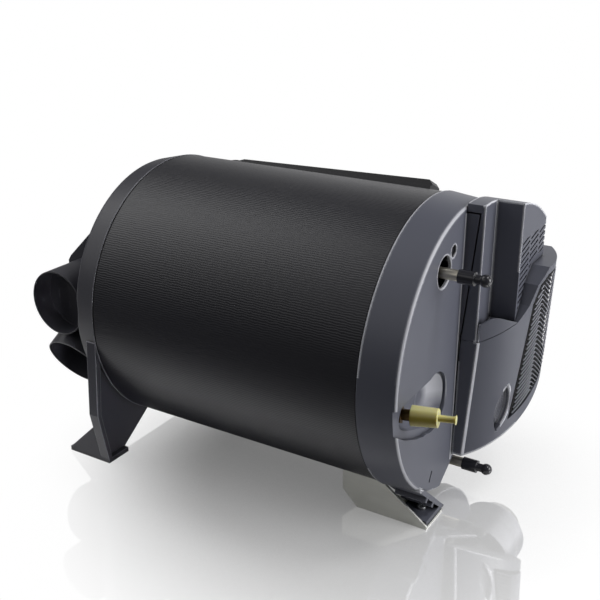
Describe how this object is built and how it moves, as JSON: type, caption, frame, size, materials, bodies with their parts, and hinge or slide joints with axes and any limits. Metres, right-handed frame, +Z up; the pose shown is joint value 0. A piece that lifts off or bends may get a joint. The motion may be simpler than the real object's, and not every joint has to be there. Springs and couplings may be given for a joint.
{
  "type": "caravan water heater",
  "caption": "Gas heater for water and room air: a drum lying on feet, with a hood of duct sockets at one end and covered water, gas and flue connections at the other",
  "frame": {"origin": "on the floor, midway between the screw holes of the two feet at the outlet end", "axes": "+X along the drum from the air outlets to the connections, -Y to the front, +Z up"},
  "size_m": [0.4825, 0.334, 0.3015],
  "materials": {
    "jacket_coat": "satin charcoal coat, fine lines embossed along the length",
    "foam": "moulded foam, dull",
    "black_moulding": "satin black moulding",
    "grey_moulding": "satin dark blue-grey moulding",
    "bracket_steel": "dull dark sheet steel",
    "zinc_screw": "zinc plated",
    "pipe_plastic": "beige-grey, smooth",
    "cap_black": "gloss black",
    "cap_yellow": "pale yellow, a little translucent",
    "zinc_pipe": "zinc plated tube",
    "yellow_zinc": "yellow passivated sheet",
    "stainless": "rolled stainless sheet",
    "cast_alloy": "die-cast, dull",
    "ceramic": "white insulator",
    "motor_steel": "plated can",
    "valve_brass": "machined",
    "board_green": "solder resist",
    "component_black": "moulded components"
  },
  "bodies": {
    "heater": {"jacket": "jacket_coat", "insulation_sleeve": "foam", "outlet_end_ring": "black_moulding", "air_outlet_hood": "black_moulding", "hood_screws": "zinc_screw", "connection_end_cap": "grey_moulding", "cable_channel": "black_moulding", "foot_bracket": "bracket_steel", "foot_screw": "zinc_screw", "hot_water_pipe": "pipe_plastic", "cold_water_pipe": "pipe_plastic", "gas_connector": "zinc_pipe", "gas_retainer_plate": "yellow_zinc", "exhaust_pipe": "stainless", "mounting_plate": "stainless", "water_tank": "stainless", "heat_exchanger": "cast_alloy", "burner": "stainless", "ignition_electrode": "ceramic", "combustion_fan_housing": "cast_alloy", "combustion_fan_motor": "motor_steel", "circulation_fan_scroll": "black_moulding", "circulation_fan_motor": "motor_steel", "gas_valve_block": "valve_brass", "valve_solenoids": "motor_steel", "gas_inlet_pipe": "zinc_pipe", "burner_gas_pipe": "zinc_pipe", "board_tray": "black_moulding", "control_board": "board_green", "board_components": "component_black", "heating_element": "stainless", "temperature_sensor": "valve_brass", "reset_switch": "component_black"},
    "electronics_cover": {"electronics_cover": "grey_moulding"},
    "hot_water_cap": {"hot_water_cap": "cap_black"},
    "cold_water_cap": {"cold_water_cap": "cap_black"},
    "gas_cap": {"gas_cap": "cap_yellow"},
    "reset_button": {"reset_button": "cap_black"},
    "combustion_impeller": {"combustion_impeller": "cast_alloy"},
    "circulation_impeller": {"circulation_impeller": "black_moulding"},
    "intake_cover": {"intake_cover": "grey_moulding", "intake_grille": "grey_moulding"}
  },
  "joints": [
    {"name": "electronics_cover_lift", "type": "slide", "parent": "heater", "child": "electronics_cover", "axis": [1, 0, 0], "range_m": [0, 0.06]},
    {"name": "intake_cover_lift", "type": "slide", "parent": "heater", "child": "intake_cover", "axis": [1, 0, 0], "range_m": [0, 0.06]},
    {"name": "hot_water_cap_pull", "type": "slide", "parent": "heater", "child": "hot_water_cap", "axis": [1, 0, 0], "range_m": [0, 0.045]},
    {"name": "cold_water_cap_pull", "type": "slide", "parent": "heater", "child": "cold_water_cap", "axis": [1, 0, 0], "range_m": [0, 0.045]},
    {"name": "gas_cap_pull", "type": "slide", "parent": "heater", "child": "gas_cap", "axis": [0.9792, 0.1903, 0.0698], "range_m": [0, 0.045]},
    {"name": "reset_button_press", "type": "slide", "parent": "heater", "child": "reset_button", "axis": [-1, 0, 0], "range_m": [0, 0.0015], "stiffness_N_per_m": 400},
    {"name": "combustion_fan_spin", "type": "hinge", "parent": "heater", "child": "combustion_impeller", "pos_m": [0.34, -0.045, 0.182], "axis": [1, 0, 0], "continuous": true},
    {"name": "circulation_fan_spin", "type": "hinge", "parent": "heater", "child": "circulation_impeller", "pos_m": [0.34, 0.06223, 0.22223], "axis": [1, 0, 0], "continuous": true}
  ]
}
